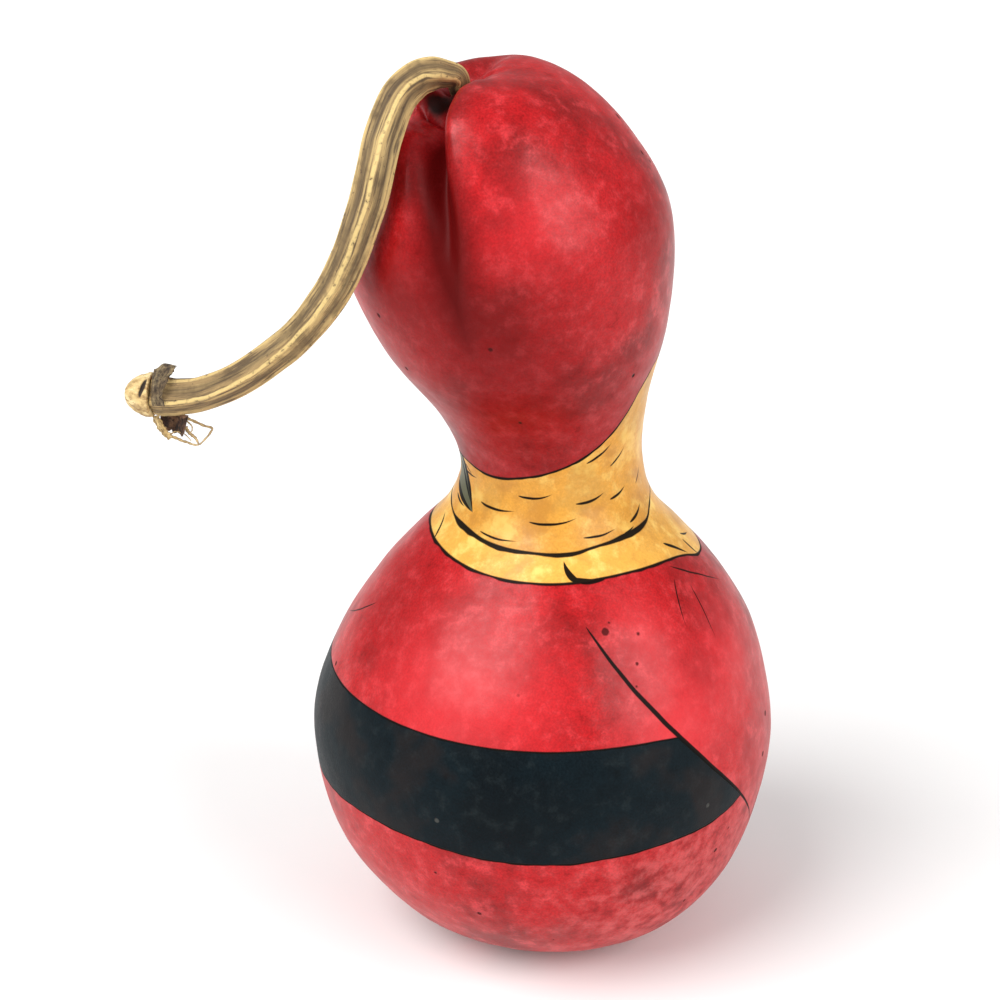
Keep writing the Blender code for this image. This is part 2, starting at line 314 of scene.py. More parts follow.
def makeSpot():  # a round mark on the skin with a ragged edge
    tree, given, out = newGroup("skinSpot", [
        ("Place", vector, (0.0, 0.0, 0.0)), ("Centre", vector, (0.0, 0.0, 0.0)),
        ("Stretch", vector, (30.0, 1.0, 0.0)), ("Radius", number, 1.0), ("Ragged", number, 0.0),
        ("Soft", number, 0.3)], [("Mask", number)])
    away = newNode(tree, "ShaderNodeVectorMath", {0: given["Place"], 1: given["Centre"]},
                   operation="SUBTRACT").outputs[0]
    away = newNode(tree, "ShaderNodeVectorMath", {0: away, 1: given["Stretch"]},
                   operation="MULTIPLY").outputs[0]
    far = newNode(tree, "ShaderNodeVectorMath", {0: away}, operation="LENGTH").outputs["Value"]
    edge = calc(tree, "ADD", given["Radius"], given["Ragged"])
    mask = calc(tree, "DIVIDE", calc(tree, "SUBTRACT", edge, far), given["Soft"], clamp=True)
    tree.links.new(mask, out["Mask"])
    return tree


def makeDryStreaks():  # dried plant fibre: pale and dark streaks that run lengthwise
    tree, given, out = newGroup("dryStreaks", [
        ("Around", number, 0.0), ("Along", number, 0.0), ("Pale", colour, (0.8, 0.6, 0.3, 1.0)),
        ("Middle", colour, (0.5, 0.35, 0.15, 1.0)), ("Dark", colour, (0.15, 0.1, 0.05, 1.0)),
        ("Streaks", number, 3.0), ("Length", number, 4.0)],
        [("Color", colour), ("Height", number)])
    angle = times(tree, given["Around"], 2.0 * math.pi)
    ring = newNode(tree, "ShaderNodeCombineXYZ", {
        0: times(tree, calc(tree, "COSINE", angle), given["Streaks"]),
        1: times(tree, calc(tree, "SINE", angle), given["Streaks"]),
        2: times(tree, given["Along"], given["Length"])}).outputs[0]
    fine = clouds(tree, ring, 0.42, 5.0, 0.65)
    broad = clouds(tree, ring, 1.3, 3.0, 0.5)
    tone = blend(tree, ramp(tree, broad, 0.40, 0.62), given["Middle"], given["Pale"])
    tone = blend(tree, ramp(tree, fine, 0.53, 0.37, 0.0, 0.9), tone, given["Dark"])
    tone = blend(tree, ramp(tree, fine, 0.56, 0.68, 0.0, 0.75), tone, given["Pale"])
    tree.links.new(tone, out["Color"])
    tree.links.new(fine, out["Height"])
    return tree


inkStroke, inkEdge, dyeTone = makeInkStroke(), makeInkEdge(), makeDyeTone()
skinSpot, dryStreaks = makeSpot(), makeDryStreaks()
print("shared node groups built")


# the fruit

mapHeight = 250.0  # mm of the upright fruit that the skin's map spans

gourdShape = {  # mm and degrees, as the CAD has them
    "footRadius": 18.0, "bellyRadius": 60.5, "bellyHeight": 57.0,
    "neckRadius": 23.2, "neckHeight": 129.7, "headRadius": 40.5, "headHeight": 188.0,
    "crownRadius": 12.0, "crownHeight": 227.6, "socketRadius": 3.6, "socketFloor": 219.5,
    "leanStart": 125.0, "sideLean": 19.0, "frontLean": 7.0, "neckShift": 2.0,
    "crownShift": 3.0, "ringTilt": 0.65, "baseSlant": 1.2,
    "creases": [  # azimuth, depth, left and right width, fade heights, reach
        (-110.0, 8.5, 6.0, 3.2, (170.0, 226.0), (4.0, 90.0)),
        (58.0, 3.2, 4.5, 3.0, (205.0, 226.0), (4.0, 22.0)),
        (-168.0, 6.0, 26.0, 17.0, (184.0, 214.0), (8.0, 90.0)),
    ],
    "foldLine": {"azimuth": -110.0, "depth": 1.5, "width": 2.6, "fade": (184.0, 222.0)},
    "hollow": {"azimuth": -130.0, "outward": 9.5, "radius": 4.2, "depth": 5.5},
    "puckers": {"count": 11, "depth": 0.45, "reach": 15.0},  # furrows that run into the socket
    "dents": [  # azimuth from the front, height, radius, depth
        (-62.0, 92.0, 9.0, 0.35), (28.0, 30.0, 7.0, 0.4), (46.0, 26.0, 5.0, 0.35),
        (12.0, 22.0, 6.0, 0.3), (-30.0, 180.0, 11.0, 0.5), (38.0, 175.0, 9.0, 0.35),
        (22.0, 87.5, 2.6, 0.22), (9.0, 79.9, 2.4, -0.16), (150.0, 60.0, 12.0, 0.5),
        (-140.0, 85.0, 9.0, 0.35), (170.0, 190.0, 10.0, 0.4), (-100.0, 40.0, 8.0, 0.3),
    ],
    "rows": 276, "columns": 336,
}


def fruitSide():  # the outer side as (radius, height) from the socket down to the foot, in mm
    s = gourdShape
    sr, sf, ch, cr = s["socketRadius"], s["socketFloor"], s["crownHeight"], s["crownRadius"]
    hr, hh, nr, nh = s["headRadius"], s["headHeight"], s["neckRadius"], s["neckHeight"]
    br, bh, fr = s["bellyRadius"], s["bellyHeight"], s["footRadius"]
    knots = [(sr, sf + 0.6), (sr + 0.3, sf + 3.4), (sr + 1.8, ch - 2.8), (cr - 3.2, ch - 0.9),
             (cr + 2.0, ch - 0.6), (0.55 * hr, ch - 3.0), (0.73 * hr, ch - 9.4),
             (0.88 * hr, hh + 18.6), (hr, hh), (0.88 * hr, hh - 24.0), (1.14 * nr, nh + 14.7),
             (nr, nh), (1.15 * nr, nh - 11.7), (0.59 * br, nh - 21.7), (0.757 * br, bh + 39.0),
             (0.908 * br, bh + 23.0), (br, bh), (0.915 * br, 30.0), (0.718 * br, 12.0),
             (fr + 10.5, 2.8), (fr, 0.0)]
    side = smoothPoints(knots, 40)
    floor = np.array([(0.02, sf), (sr - 0.8, sf)])
    return np.vstack([floor, side, [(0.5 * fr, 0.0), (0.02, 0.0)]])


def leanAt(height):
    s = gourdShape
    rise = np.maximum(0.0, (height - s["leanStart"]) / (s["crownHeight"] - s["leanStart"]))
    return -s["sideLean"] * rise ** 1.4, -s["frontLean"] * rise ** 1.6


def onSpine(points):  # rings follow the leaning spine and tilt with it
    s, height = gourdShape, points[..., 2]
    x, y = leanAt(height)
    ahead, behind = leanAt(height + 1.0), leanAt(height - 1.0)
    along = np.stack([s["ringTilt"] * (ahead[0] - behind[0]),
                      s["ringTilt"] * (ahead[1] - behind[1]), np.full_like(x, 2.0)], -1)
    along /= np.linalg.norm(along, axis=-1, keepdims=True)
    across = np.stack([np.ones_like(x), np.zeros_like(x), -along[..., 0] / along[..., 2]], -1)
    across /= np.linalg.norm(across, axis=-1, keepdims=True)
    deep = np.cross(along, across)
    shift = (s["neckShift"] * ease((height - 60.0) / 40.0)
             - s["neckShift"] * ease((height - 135.0) / 30.0)
             - s["crownShift"] * ease((height - 198.0) / 32.0))
    middle = np.stack([x + shift, y, height], -1)
    return middle + across * points[..., :1] + deep * points[..., 1:2]


def pressedIn(points):  # how far the skin sinks at each point of the upright fruit, in mm
    s, height = gourdShape, points[..., 2]
    x, y = points[..., 0], points[..., 1]
    radius, turn = np.hypot(x, y), np.arctan2(y, x)
    depth = np.zeros_like(radius)
    for azimuth, deep, left, right, fade, reach in s["creases"]:
        off = turn - math.radians(azimuth)
        aside, outward = radius * np.sin(off), radius * np.cos(off)
        width = np.where(aside > 0.0, right, left)
        depth += (deep * np.exp(-(aside / width) ** 2)
                  * ease((height - fade[0]) / (fade[1] - fade[0])) ** 1.3
                  * ease(outward / reach[0] - 1.0) * ease((reach[1] - outward) / (0.5 * reach[1])))
    fold = s["foldLine"]
    off = turn - math.radians(fold["azimuth"])
    wander = 0.8 * np.sin(height * 0.22)
    depth += (fold["depth"] * np.exp(-((radius * np.sin(off) + wander) / fold["width"]) ** 2)
              * ease((height - fold["fade"][0]) / (fold["fade"][1] - fold["fade"][0]))
              * (np.cos(off) > 0.0) * ease(radius / 9.0 - 1.0) * (radius > 5.0))
    hollow = s["hollow"]
    off = turn - math.radians(hollow["azimuth"])
    far = np.hypot(radius * np.sin(off), radius * np.cos(off) - hollow["outward"])
    depth += hollow["depth"] * np.exp(-(far / hollow["radius"]) ** 4) * (height > s["headHeight"])
    pucker = s["puckers"]
    depth += (pucker["depth"] * (0.5 + 0.5 * np.cos(pucker["count"] * turn + 0.25 * radius))
              * ease((radius - 4.5) / 3.0) * ease((pucker["reach"] - radius) / 8.0)
              * (height > s["headHeight"] + 20.0))
    low = ease(height / 4.0) * (1.0 - ease((height - 8.0) / 32.0))
    depth += s["baseSlant"] * np.cos(turn - math.pi) * low
    lobes = 0.5 * np.cos(3.0 * turn + 1.0) * ease(height / 25.0 - 0.2)
    return depth + lobes * ease(radius / 15.0)


def radiusAt(height):  # the upright fruit's radius at a height on its outer side
    side = fruitSide()
    side = side[int(np.argmax(side[:, 0] > gourdShape["crownRadius"])):-2][::-1]
    return float(np.interp(height, side[:, 1], side[:, 0]))


def makeGourd(materials):
    s = gourdShape
    side = evenlyAlong(fruitSide(), s["rows"])
    turn = np.radians(-270.0 + 360.0 * np.arange(s["columns"]) / s["columns"])
    slope = np.gradient(side, axis=0)
    slope /= np.linalg.norm(slope, axis=1, keepdims=True)
    ring = np.stack([np.cos(turn), np.sin(turn)], -1)
    heights = np.repeat(side[:, None, 1:], len(turn), 1)
    points = np.concatenate([side[:, None, :1] * ring, heights], -1)
    outward = np.concatenate([-slope[:, None, 1:] * ring,
                              np.repeat(slope[:, None, :1], len(turn), 1)], -1)
    sunk = pressedIn(points)
    for azimuth, height, radius, depth in s["dents"]:
        r, a = radiusAt(height), math.radians(azimuth - 90.0)
        centre = np.array([r * math.cos(a), r * math.sin(a), height])
        away = np.linalg.norm(points - centre, axis=-1)
        sunk += depth * np.exp(-(away / radius) ** 2)
    clear = ease(points[..., 2] / 3.0) * ease(np.hypot(points[..., 0], points[..., 1]) / 14.0)
    sunk += clear * (0.16 + 0.30 * rough(points, 24.0, 1.0) + 0.10 * rough(points, 8.0, 2.0)
                     + 0.035 * rough(points, 2.6, 3.0))
    points = onSpine(points - outward * sunk[..., None]) * mm
    run = np.concatenate([[0.0], np.cumsum(np.linalg.norm(np.diff(side, axis=0), axis=1))])
    u = np.linspace(0.0, 1.0, s["columns"] + 1)
    maps = {"SkinMap": (u, side[:, 1] / mapHeight), "OFBake": (u, 0.998 - 0.996 * run / run[-1])}
    gourd = sheetMesh("driedGourd", points, maps, materials[0])
    for material in materials[1:]:
        gourd.data.materials.append(material)
    middle = 0.5 * (side[1:, 1] + side[:-1, 1])
    zone = np.where(middle > skinZones["collarSkin"][1], 0,
                    np.where(middle > skinZones["bodySkin"][1], 1, 2))
    zone = np.concatenate([np.repeat(zone, s["columns"]), [0, 2]]).astype(np.int32)
    gourd.data.polygons.foreach_set("material_index", zone)
    place(gourd, "gourd", "gourd_skin")
    return gourd


gourdPaint = {  # linear colours; edges are (azimuth from the front, height in mm)
    "redDeep": (0.145, 0.002, 0.002), "redMiddle": (0.425, 0.007, 0.010),
    "redBright": (0.680, 0.038, 0.046),
    "yellowDeep": (0.520, 0.240, 0.045), "yellowMiddle": (0.790, 0.405, 0.068),
    "yellowBright": (0.940, 0.650, 0.170),
    "beltDeep": (0.002, 0.003, 0.004), "beltMiddle": (0.003, 0.008, 0.011),
    "beltBright": (0.020, 0.028, 0.030), "beltBrown": (0.034, 0.017, 0.012),
    # the creases' painted shade: each crease as a stroke, its softness and strength
    "creaseShadeLines": [((-21.5, 229.0, -19.0, 168.0, 0.0, 21.0), 8.0, 0.94),
              ((-52.0, 222.0, -40.0, 190.0, 0.0, 6.0), 7.0, 0.4)],
    "patchesAndHighlights": [  # azimuth, height, radius, soft, amount: darker patches (+); lighter (-), painted highlights on the front
        (-14.0, 176.0, 34.0, 28.0, 0.78), (-42.0, 186.0, 20.0, 17.0, 0.60),
        (14.0, 200.0, 18.0, 18.0, -0.34), (-27.0, 86.0, 34.0, 30.0, -0.70),
        (34.0, 76.0, 24.0, 20.0, -0.72), (62.0, 86.0, 22.0, 18.0, -0.55),
        (66.0, 60.0, 24.0, 20.0, -0.35), (58.0, 190.0, 18.0, 15.0, 0.50),
        (28.0, 96.0, 15.0, 13.0, -0.50), (-62.0, 96.0, 20.0, 16.0, 0.30),
        (150.0, 180.0, 30.0, 26.0, 0.40), (-140.0, 70.0, 36.0, 30.0, -0.30)],
    "beltFleck": (0.10, 0.10, 0.09), "yellowSmudge": (0.42, 0.30, 0.10),
    "ink": (0.004, 0.003, 0.002), "wedge": (0.085, 0.085, 0.040), "bloom": (0.520, 0.120, 0.110),
    # painted shade: the crease colour on this line and the near-black hollow colour on the next
    "pit": (0.050, 0.006, 0.006), "paintedCreaseShade": (0.085, 0.002, 0.002),
    "neckShade": (0.82, 0.75, 0.64), "hollow": (0.010, 0.004, 0.003),
    "sizes": {"cloud": 26.0, "speckle": 4.6, "grain": 0.55, "waver": 5.5, "wash": 9.0},
    "wobble": 0.40, "coatRoughness": 0.30, "specular": 0.06, "bumpDepth": 0.25,
    "redDepth": 0.70, "redShine": 0.50, "roughness": (0.36, 0.48),
    "varnish": (0.24, 0.56), "bareInk": 0.9,
    "collarPress": [(-180, 80), (-100, 80), (-70, 95), (-56, 165), (-40, 130), (-15, 120),
                    (4, 115), (22, 90), (38, 165), (48, 170), (62, 95), (90, 70), (140, 100),
                    (180, 80)],
    "headNeck": [(-180, 134.5), (-150, 133.2), (-120, 133.4), (-100, 133.9), (-81, 133.5),
                 (-65, 132.8), (-50, 131.6), (-34, 131.5), (-18, 132.6), (0, 134.4), (18, 137.4),
                 (33, 140.9), (50, 146.5), (60, 151.6), (75, 155.5), (92, 156.5), (110, 153.5),
                 (130, 147.5), (150, 141.0), (168, 136.3), (180, 134.5)],
    "collarInk": [(-180, 121.0), (-140, 121.2), (-110, 120.6), (-87, 119.4), (-72, 117.7),
                  (-51, 116.3), (-35, 115.3), (-16, 114.7), (8, 114.6), (18, 115.4),
                  (36, 116.3), (54, 117.1), (63, 118.0), (74, 120.2), (90, 121.5),
                  (120, 122.3), (150, 122.0), (180, 121.0)],
    "yellowRed": [(-180, 112.0), (-140, 112.6), (-110, 112.8), (-89, 112.5), (-67, 111.5),
                  (-46, 110.4), (-25, 109.4), (-1, 109.0), (18, 109.5), (36, 109.7),
                  (59, 109.1), (69, 108.0), (82, 105.5), (95, 104.8), (120, 106.5),
                  (150, 109.5), (180, 112.0)],
    "beltTop": [(-180, 77.0), (-120, 76.8), (-84, 76.2), (-45, 75.4), (0, 75.0), (24, 75.0),
                (36, 74.2), (60, 73.5), (120, 75.0), (180, 77.0)],
    "beltBottom": [(-180, 47.0), (-130, 46.6), (-90, 47.2), (-66, 47.7), (-53, 48.1),
                   (-35, 47.6), (-12, 46.3), (5, 46.2), (14, 47.1), (27, 48.0), (46, 49.1),
                   (54, 51.2), (62, 55.0), (120, 50.0), (180, 47.0)],
    "strokes": [  # from azimuth and height, to azimuth and height, sag, full width
        (-80.5, 131.0, -60.0, 122.0, 0.6, 1.2), (-72.0, 131.5, -63.0, 129.5, 0.2, 0.6),
        (-74.9, 129.9, -57.0, 129.2, 0.3, 0.7), (-22.9, 127.4, -1.0, 128.4, 0.9, 0.8),
        (-50.5, 123.2, -23.5, 123.2, 0.6, 0.75), (12.0, 125.4, 31.5, 127.1, 0.6, 0.8),
        (34.7, 125.1, 49.5, 127.0, 0.4, 0.7), (-15.0, 121.1, 13.0, 122.3, 0.9, 0.75),
        (-44.0, 117.2, -19.0, 116.8, 0.4, 0.6), (14.5, 117.6, 34.7, 118.5, 0.4, 0.65),
        (45.5, 118.8, 61.6, 121.7, 0.4, 0.8), (38.7, 116.9, 47.8, 117.9, 0.2, 0.6),
        (20.0, 135.7, 37.5, 139.3, 0.5, 0.8), (36.8, 133.0, 49.8, 136.8, 0.4, 0.65),
        (61.7, 125.9, 73.0, 129.0, 0.2, 0.45), (-78.5, 121.7, -63.2, 120.3, 0.3, 0.7),
        (-70.2, 111.6, -81.0, 116.4, 0.6, 0.7), (60.5, 112.2, 73.5, 107.6, -0.3, 0.9),
        (78.2, 110.0, 82.0, 105.2, 0.2, 0.8), (81.0, 110.9, 91.0, 108.9, 0.2, 0.6),
        (9.4, 109.2, 3.6, 113.4, -0.7, 1.5), (6.4, 110.0, 21.0, 109.4, 0.5, 1.3),
        (104.0, 127.5, 121.0, 128.8, 0.5, 0.7), (138.0, 119.3, 158.0, 119.7, 0.4, 0.7),
        (-166.0, 126.6, -146.0, 126.0, 0.6, 0.7), (-124.0, 129.0, -108.0, 128.7, 0.4, 0.65),
        (132.0, 133.0, 150.0, 132.2, 0.5, 0.7), (-138.0, 123.3, -118.0, 123.0, 0.5, 0.7),
        (-112.0, 124.8, -97.0, 124.6, 0.3, 0.6), (164.0, 124.4, 179.0, 124.8, 0.4, 0.7),
        (54.3, 108.2, 83.0, 98.0, -0.4, 0.55), (52.5, 105.8, 45.4, 95.6, 1.3, 0.5),
        (58.8, 103.4, 56.2, 91.0, 0.5, 0.5), (-74.5, 94.8, -94.5, 85.2, -0.8, 0.55),
        (-172.0, 103.0, -164.0, 92.0, 0.8, 0.5), (-158.0, 101.0, -153.0, 90.0, -0.6, 0.5),
    ],
    "sleeves": [(9.6, 100.9, 73.0, 33.5, 0.8, 1.15), (-130.0, 101.0, -179.5, 43.6, 1.0, 1.15)],
    "wedgeSides": [(-77.5, 134.6, -54.5, 120.2, 1.0, 1.5), (-84.0, 124.3, -55.0, 120.2, 0.6, 1.3)],
    "pits": [(15.7, 99.6, 1.0), (17.6, 101.2, 0.35), (26.6, 98.2, 0.4), (23.9, 92.4, 0.35),
             (22.7, 87.9, 0.5), (89.8, 212.0, 0.8), (83.3, 204.0, 0.9), (86.4, 201.2, 0.6),
             (-17.8, 27.7, 0.6), (-28.4, 38.6, 0.5), (2.1, 18.9, 0.5), (74.0, 65.4, 1.1),
             (69.0, 56.2, 0.9), (41.9, 24.0, 0.7), (47.8, 38.0, 0.8)],
}


def strokeInputs(place, stroke, stretch=1.12):  # the line in unrolled mm about its middle height
    a0, h0, a1, h1, sag, width = stroke
    r = radiusAt(0.5 * (h0 + h1))
    a0, a1 = math.radians(a0), math.radians(a1)
    dx, dy = r * (a1 - a0), (h1 - h0) * stretch
    length = math.hypot(dx, dy)
    along = (r * dx / length ** 2, stretch * dy / length ** 2, 0.0)
    across = (r * dy / length, -stretch * dx / length, 0.0)
    return {"Place": place, "Along": along, "Across": across,
            "Along Start": a0 * along[0] + h0 * along[1],
            "Across Start": a0 * across[0] + h0 * across[1],
            "Bow": -4.0 * sag, "Width": 1.2 * width}


def edgeCurve(tree, around, points):  # a painted edge's height in mm, by azimuth
    node = newNode(tree, "ShaderNodeFloatCurve", {"Value": around})
    curve = node.mapping.curves[0]
    while len(curve.points) < len(points):
        curve.points.new(0.5, 0.5)
    for knot, (azimuth, height) in zip(curve.points, points):
        knot.location = (azimuth / 360.0 + 0.5, height / mapHeight)
        knot.handle_type = "AUTO"
    node.mapping.update()
    return times(tree, node.outputs[0], mapHeight)


skinZones = {"headSkin": (158.0, 260.0), "collarSkin": (104.0, 158.0), "bodySkin": (-5.0, 104.0)}


def makeSkinMaterial(zone):  # one dyed skin in three zones, so that each keeps only its own lines
    p, (floorHeight, topHeight) = gourdPaint, skinZones[zone]
    material, tree, shader = newMaterial(zone)
    skin = newNode(tree, "ShaderNodeUVMap", uv_map="SkinMap").outputs[0]
    split = newNode(tree, "ShaderNodeSeparateXYZ", {0: skin}).outputs
    spot = newNode(tree, "ShaderNodeTexCoord").outputs["Object"]
    cloud = clouds(tree, spot, p["sizes"]["cloud"] * mm, 3.0, 0.6)
    speckle = clouds(tree, spot, p["sizes"]["speckle"] * mm, 5.0, 0.66)
    grain = clouds(tree, spot, p["sizes"]["grain"] * mm, 1.0, 0.6)
    waver = clouds(tree, spot, p["sizes"]["waver"] * mm, 1.0, 0.5)
    azimuth = times(tree, calc(tree, "SUBTRACT", split["X"], 0.5), 2.0 * math.pi)
    height = times(tree, split["Y"], mapHeight)
    height = calc(tree, "MULTIPLY_ADD", calc(tree, "SUBTRACT", waver, 0.5), p["wobble"], height)
    where = newNode(tree, "ShaderNodeCombineXYZ", {0: azimuth, 1: height}).outputs[0]

    def edge(name, halfWidth):
        return useGroup(tree, inkEdge, {
            "Height": height, "Edge": edgeCurve(tree, split["X"], p[name]),
            "Half Width": halfWidth, "Uneven": waver})

    def stroke(line, ink=0.0, stretch=1.12, soft=0.18):
        inputs = {**strokeInputs(where, line, stretch), "Ink": ink, "Soft": soft}
        return useGroup(tree, inkStroke, inputs)

    def mark(turn, up, radius, soft, ragged=0.0):
        r = radiusAt(up) if up < 215 else 12.0
        return useGroup(tree, skinSpot, {
            "Place": where, "Centre": (math.radians(turn), up, 0.0), "Stretch": (r, 1.15, 0.0),
            "Radius": radius, "Soft": soft, "Ragged": ragged})["Mask"]

    def dyed(prefix, deepAmount, brightAmount):  # grain is read when it is called
        return useGroup(tree, dyeTone, {
            "Deep": (*p[prefix + "Deep"], 1.0), "Middle": (*p[prefix + "Middle"], 1.0),
            "Bright": (*p[prefix + "Bright"], 1.0), "Cloud": cloud, "Speckle": speckle,
            "Grain": grain, "Deep Amount": deepAmount, "Bright Amount": brightAmount})["Color"]

    ragged = times(tree, calc(tree, "SUBTRACT", speckle, 0.5), 1.6)
    cells = newNode(tree, "ShaderNodeTexVoronoi", {"Vector": spot, "Scale": 150.0}).outputs
    chance = newNode(tree, "ShaderNodeSeparateColor", {0: cells["Color"]}).outputs[0]
    flecks = times(tree, ramp(tree, cells["Distance"], 0.13, 0.06),
                  calc(tree, "GREATER_THAN", chance, 0.90))
    pits = flecks
    for turn, up, radius in p["pits"]:
        if floorHeight - 3.0 < up < topHeight + 3.0:
            pits = larger(tree, pits, mark(turn, up, radius, 0.35, ragged))
    tone = red = dyed("red", p["redDepth"], p["redShine"])
    ink, carved, varnish = 0.0, pits, 1.0

    # darker patches, and lighter ones that paint highlights where the lights fall on the front
    for turn, up, radius, soft, amount in p["patchesAndHighlights"]:
        if floorHeight < up + radius and up - radius < topHeight:
            patchOrHighlight = times(tree, mark(turn, up, radius, soft, ragged), abs(amount))
            tone = red = blend(tree, patchOrHighlight, red, p["redDeep" if amount > 0.0 else "redBright"])
            if amount > 0.0:
                varnish = lessened(tree, varnish, patchOrHighlight, 0.7)

    if zone == "headSkin":
        for line, soft, amount in p["creaseShadeLines"]:  # painted shade darkens the red in the creases
            creaseShade = times(tree, stroke(line, soft=soft)["Ink"], amount)
            tone = blend(tree, creaseShade, tone, p["paintedCreaseShade"])
            varnish = lessened(tree, varnish, creaseShade, 1.0)
        low = ramp(tree, height, 182.0, 150.0)  # painted shade: the red darkens towards the underside of the head
        tone = blend(tree, times(tree, low, 0.45), tone, p["redDeep"])
        # painted shade: the hollow beside the stem's root is painted near black
        throat = newNode(tree, "ShaderNodeVectorMath", {0: spot, 1: hollowPlace()},
                         operation="DISTANCE").outputs["Value"]
        paintedHollowShade = ramp(tree, throat, 5.6 * mm, 3.8 * mm)
        tone = blend(tree, times(tree, paintedHollowShade, 0.97), tone, p["hollow"])
        varnish = times(tree, varnish, opposite(tree, paintedHollowShade))

    if zone == "collarSkin":
        # a wide pen at the collar's two shoulders, a thin one between them
        press = edgeCurve(tree, split["X"], p["collarPress"])
        collar = edge("collarInk", times(tree, press, 0.0042))
        head, hem = edge("headNeck", 0.42), edge("yellowRed", 0.38)
        lines = larger(tree, hem["Line"], larger(tree, head["Line"], collar["Line"]))
        carved = larger(tree, carved, lines)
        onYellow = times(tree, hem["Above"], opposite(tree, head["Above"]))
        # painted shade: the red at the bottom of the head, just above the neck, is darkened
        shadeUnderHead = times(tree, head["Above"], 0.45)
        red = blend(tree, shadeUnderHead, red, p["redDeep"])
        grain = calc(tree, "MULTIPLY_ADD", grain, 0.35, 0.32)
        wash = clouds(tree, spot, p["sizes"]["wash"] * mm, 5.0, 0.58)
        yellow = dyed("yellow", 0.45, 0.60)
        yellow = blend(tree, ramp(tree, wash, 0.50, 0.34, 0.0, 0.60), yellow, p["yellowDeep"])
        yellow = blend(tree, ramp(tree, wash, 0.54, 0.68, 0.0, 0.75), yellow, p["yellowBright"])
        smudge = times(tree, ramp(tree, cloud, 0.56, 0.66), 0.25)
        yellow = blend(tree, smudge, yellow, p["yellowSmudge"])
        yellow = blend(tree, collar["Above"], yellow, blend(
            tree, 1.0, yellow, p["neckShade"], "MULTIPLY"))
        tone = blend(tree, onYellow, red, yellow)
        first, second = [stroke(line) for line in p["wedgeSides"]]
        inWedge = times(tree, ramp(tree, first["Side"], -0.1, 0.1),
                       ramp(tree, second["Side"], 0.1, -0.1))
        inWedge = times(tree, inWedge, times(tree, onYellow, ramp(
            tree, azimuth, math.radians(-88.0), math.radians(-84.0))))
        inWedge = times(tree, inWedge, calc(tree, "LESS_THAN", azimuth, -0.95))
        tone = blend(tree, inWedge, tone, p["wedge"])
        ink = times(tree, larger(tree, first["Ink"], second["Ink"]), onYellow)
        ink = larger(tree, ink, carved)

    if zone == "bodySkin":
        worn = times(tree, mark(38.0, 27.0, 44.0, 30.0), ramp(tree, speckle, 0.40, 0.62))
        dull = times(tree, mark(44.0, 30.0, 40.0, 26.0), ramp(tree, speckle, 0.52, 0.36))
        tone = blend(tree, times(tree, worn, 0.28), tone, p["bloom"])
        tone = blend(tree, times(tree, dull, 0.60), tone, p["redDeep"])
        top, foot = edge("beltTop", 0.30), edge("beltBottom", 0.34)
        right, left = [stroke(line, 0.0, 1.0) for line in p["sleeves"]]
        within = times(tree, ramp(tree, right["Side"], -0.1, 0.1),
                      ramp(tree, left["Side"], 0.1, -0.1))
        onBelt = times(tree, foot["Above"], opposite(tree, top["Above"]))
        onBelt = times(tree, onBelt, within)
        belt = dyed("belt", 0.6, 0.30)
        brown = times(tree, ramp(tree, cloud, 0.52, 0.66), 0.28)
        belt = blend(tree, brown, belt, p["beltBrown"])
        belt = blend(tree, times(tree, flecks, 0.5), belt, p["beltFleck"])
        tone = blend(tree, onBelt, tone, belt)
        pits = times(tree, pits, opposite(tree, onBelt))
        varnish = calc(tree, "MULTIPLY_ADD", onBelt, -0.90, 1.0)
        ink = times(tree, larger(tree, top["Line"], foot["Line"]), within)
        ink = larger(tree, ink, larger(tree, right["Ink"], left["Ink"]))
        carved = larger(tree, carved, ink)

    for line in p["strokes"]:
        if max(line[1], line[3]) > floorHeight - 2.0 and min(line[1], line[3]) < topHeight + 2.0:
            ink = stroke(line, ink)["Ink"]
    tone = blend(tree, times(tree, pits, 0.9), tone, p["pit"])
    if zone != "headSkin":
        tone = blend(tree, times(tree, ink, 0.99), tone, p["ink"])
    tree.links.new(tone, shader.inputs["Base Color"])

    gloss = ramp(tree, speckle, 0.25, 0.75, *p["roughness"])
    gloss = calc(tree, "MULTIPLY_ADD", ramp(tree, grain, 0.3, 0.7), 0.08, gloss)
    gloss = calc(tree, "MULTIPLY_ADD", carved, 0.12, gloss)
    tree.links.new(gloss, shader.inputs["Roughness"])
    drawn = larger(tree, ink, pits)
    varnish = lessened(tree, varnish, drawn, p["bareInk"])
    patchy = ramp(tree, speckle, 0.3, 0.7, *p["varnish"])
    tree.links.new(times(tree, varnish, patchy), shader.inputs["Coat Weight"])
    shader.inputs["Coat Roughness"].default_value = p["coatRoughness"]
    shader.inputs["Specular IOR Level"].default_value = p["specular"]

    relief = calc(tree, "MULTIPLY_ADD", speckle, 0.30, times(tree, grain, 0.16))
    relief = calc(tree, "MULTIPLY_ADD", carved, -0.9, relief)
    bump = newNode(tree, "ShaderNodeBump", {"Height": relief, "Strength": 0.8,
                                            "Distance": p["bumpDepth"] * mm}).outputs[0]
    tree.links.new(bump, shader.inputs["Normal"])
    return material


def hollowPlace():  # where the hollow beside the stem's root is, in metres
    h = gourdShape["hollow"]
    turn = math.radians(h["azimuth"])
    point = np.array([h["outward"] * math.cos(turn), h["outward"] * math.sin(turn),
                      gourdShape["crownHeight"] - 3.2])
    return tuple(onSpine(point) * mm)


# the stem and the torn end of the vine

